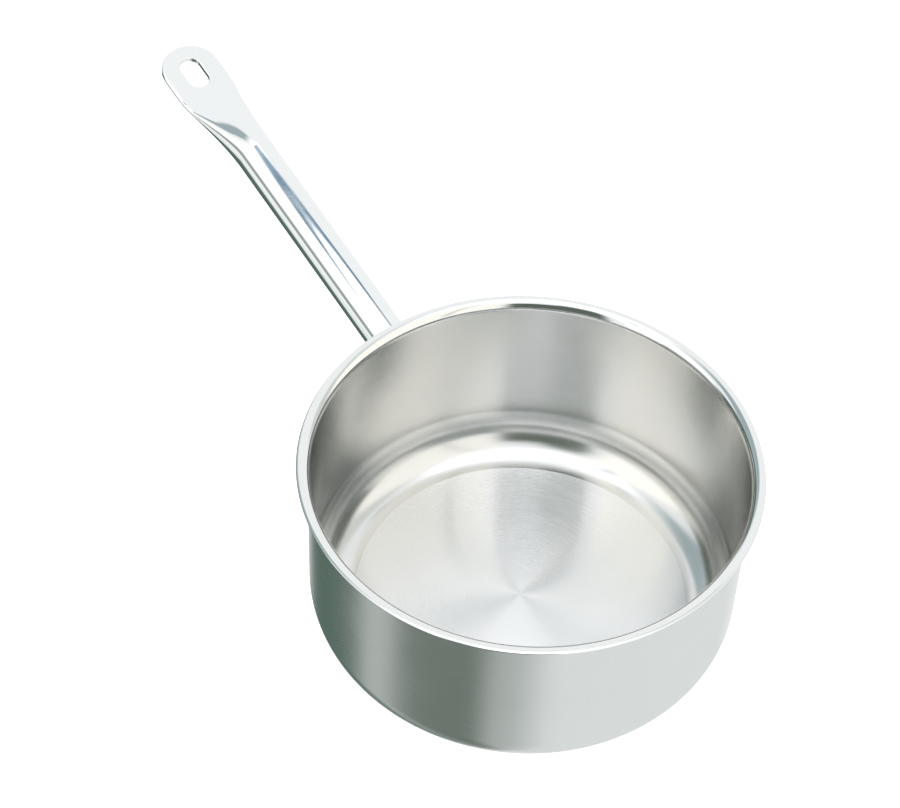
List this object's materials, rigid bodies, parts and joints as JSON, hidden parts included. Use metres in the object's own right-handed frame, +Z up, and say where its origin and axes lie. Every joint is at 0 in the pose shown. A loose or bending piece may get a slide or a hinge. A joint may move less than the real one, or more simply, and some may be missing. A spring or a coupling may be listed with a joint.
{
  "type": "saucepan",
  "caption": "Round steel saucepan with a flared pouring lip, a rounded inside corner, a sandwich base and a rising tube handle pressed flat at its slotted end.",
  "frame": {"origin": "centre of the underside of the base, on the surface that the pan stands on", "axes": "+Z up along the pan's axis, +X out along the handle, +Y completes the right-handed set"},
  "size_m": [0.4054, 0.2126, 0.1385],
  "materials": {
    "pan_steel": "satin stainless brushed round the pan, with a polished lip",
    "core_aluminium": "plain pressed disc",
    "base_steel": "satin stainless turned in circles",
    "handle_steel": "mirror-polished stainless",
    "weld_steel": "brushed weld bead"
  },
  "bodies": {
    "root": {"pan_body": "pan_steel", "base_core": "core_aluminium", "base_cap": "base_steel", "handle": "handle_steel", "handle_weld": "weld_steel"}
  },
  "joints": []
}
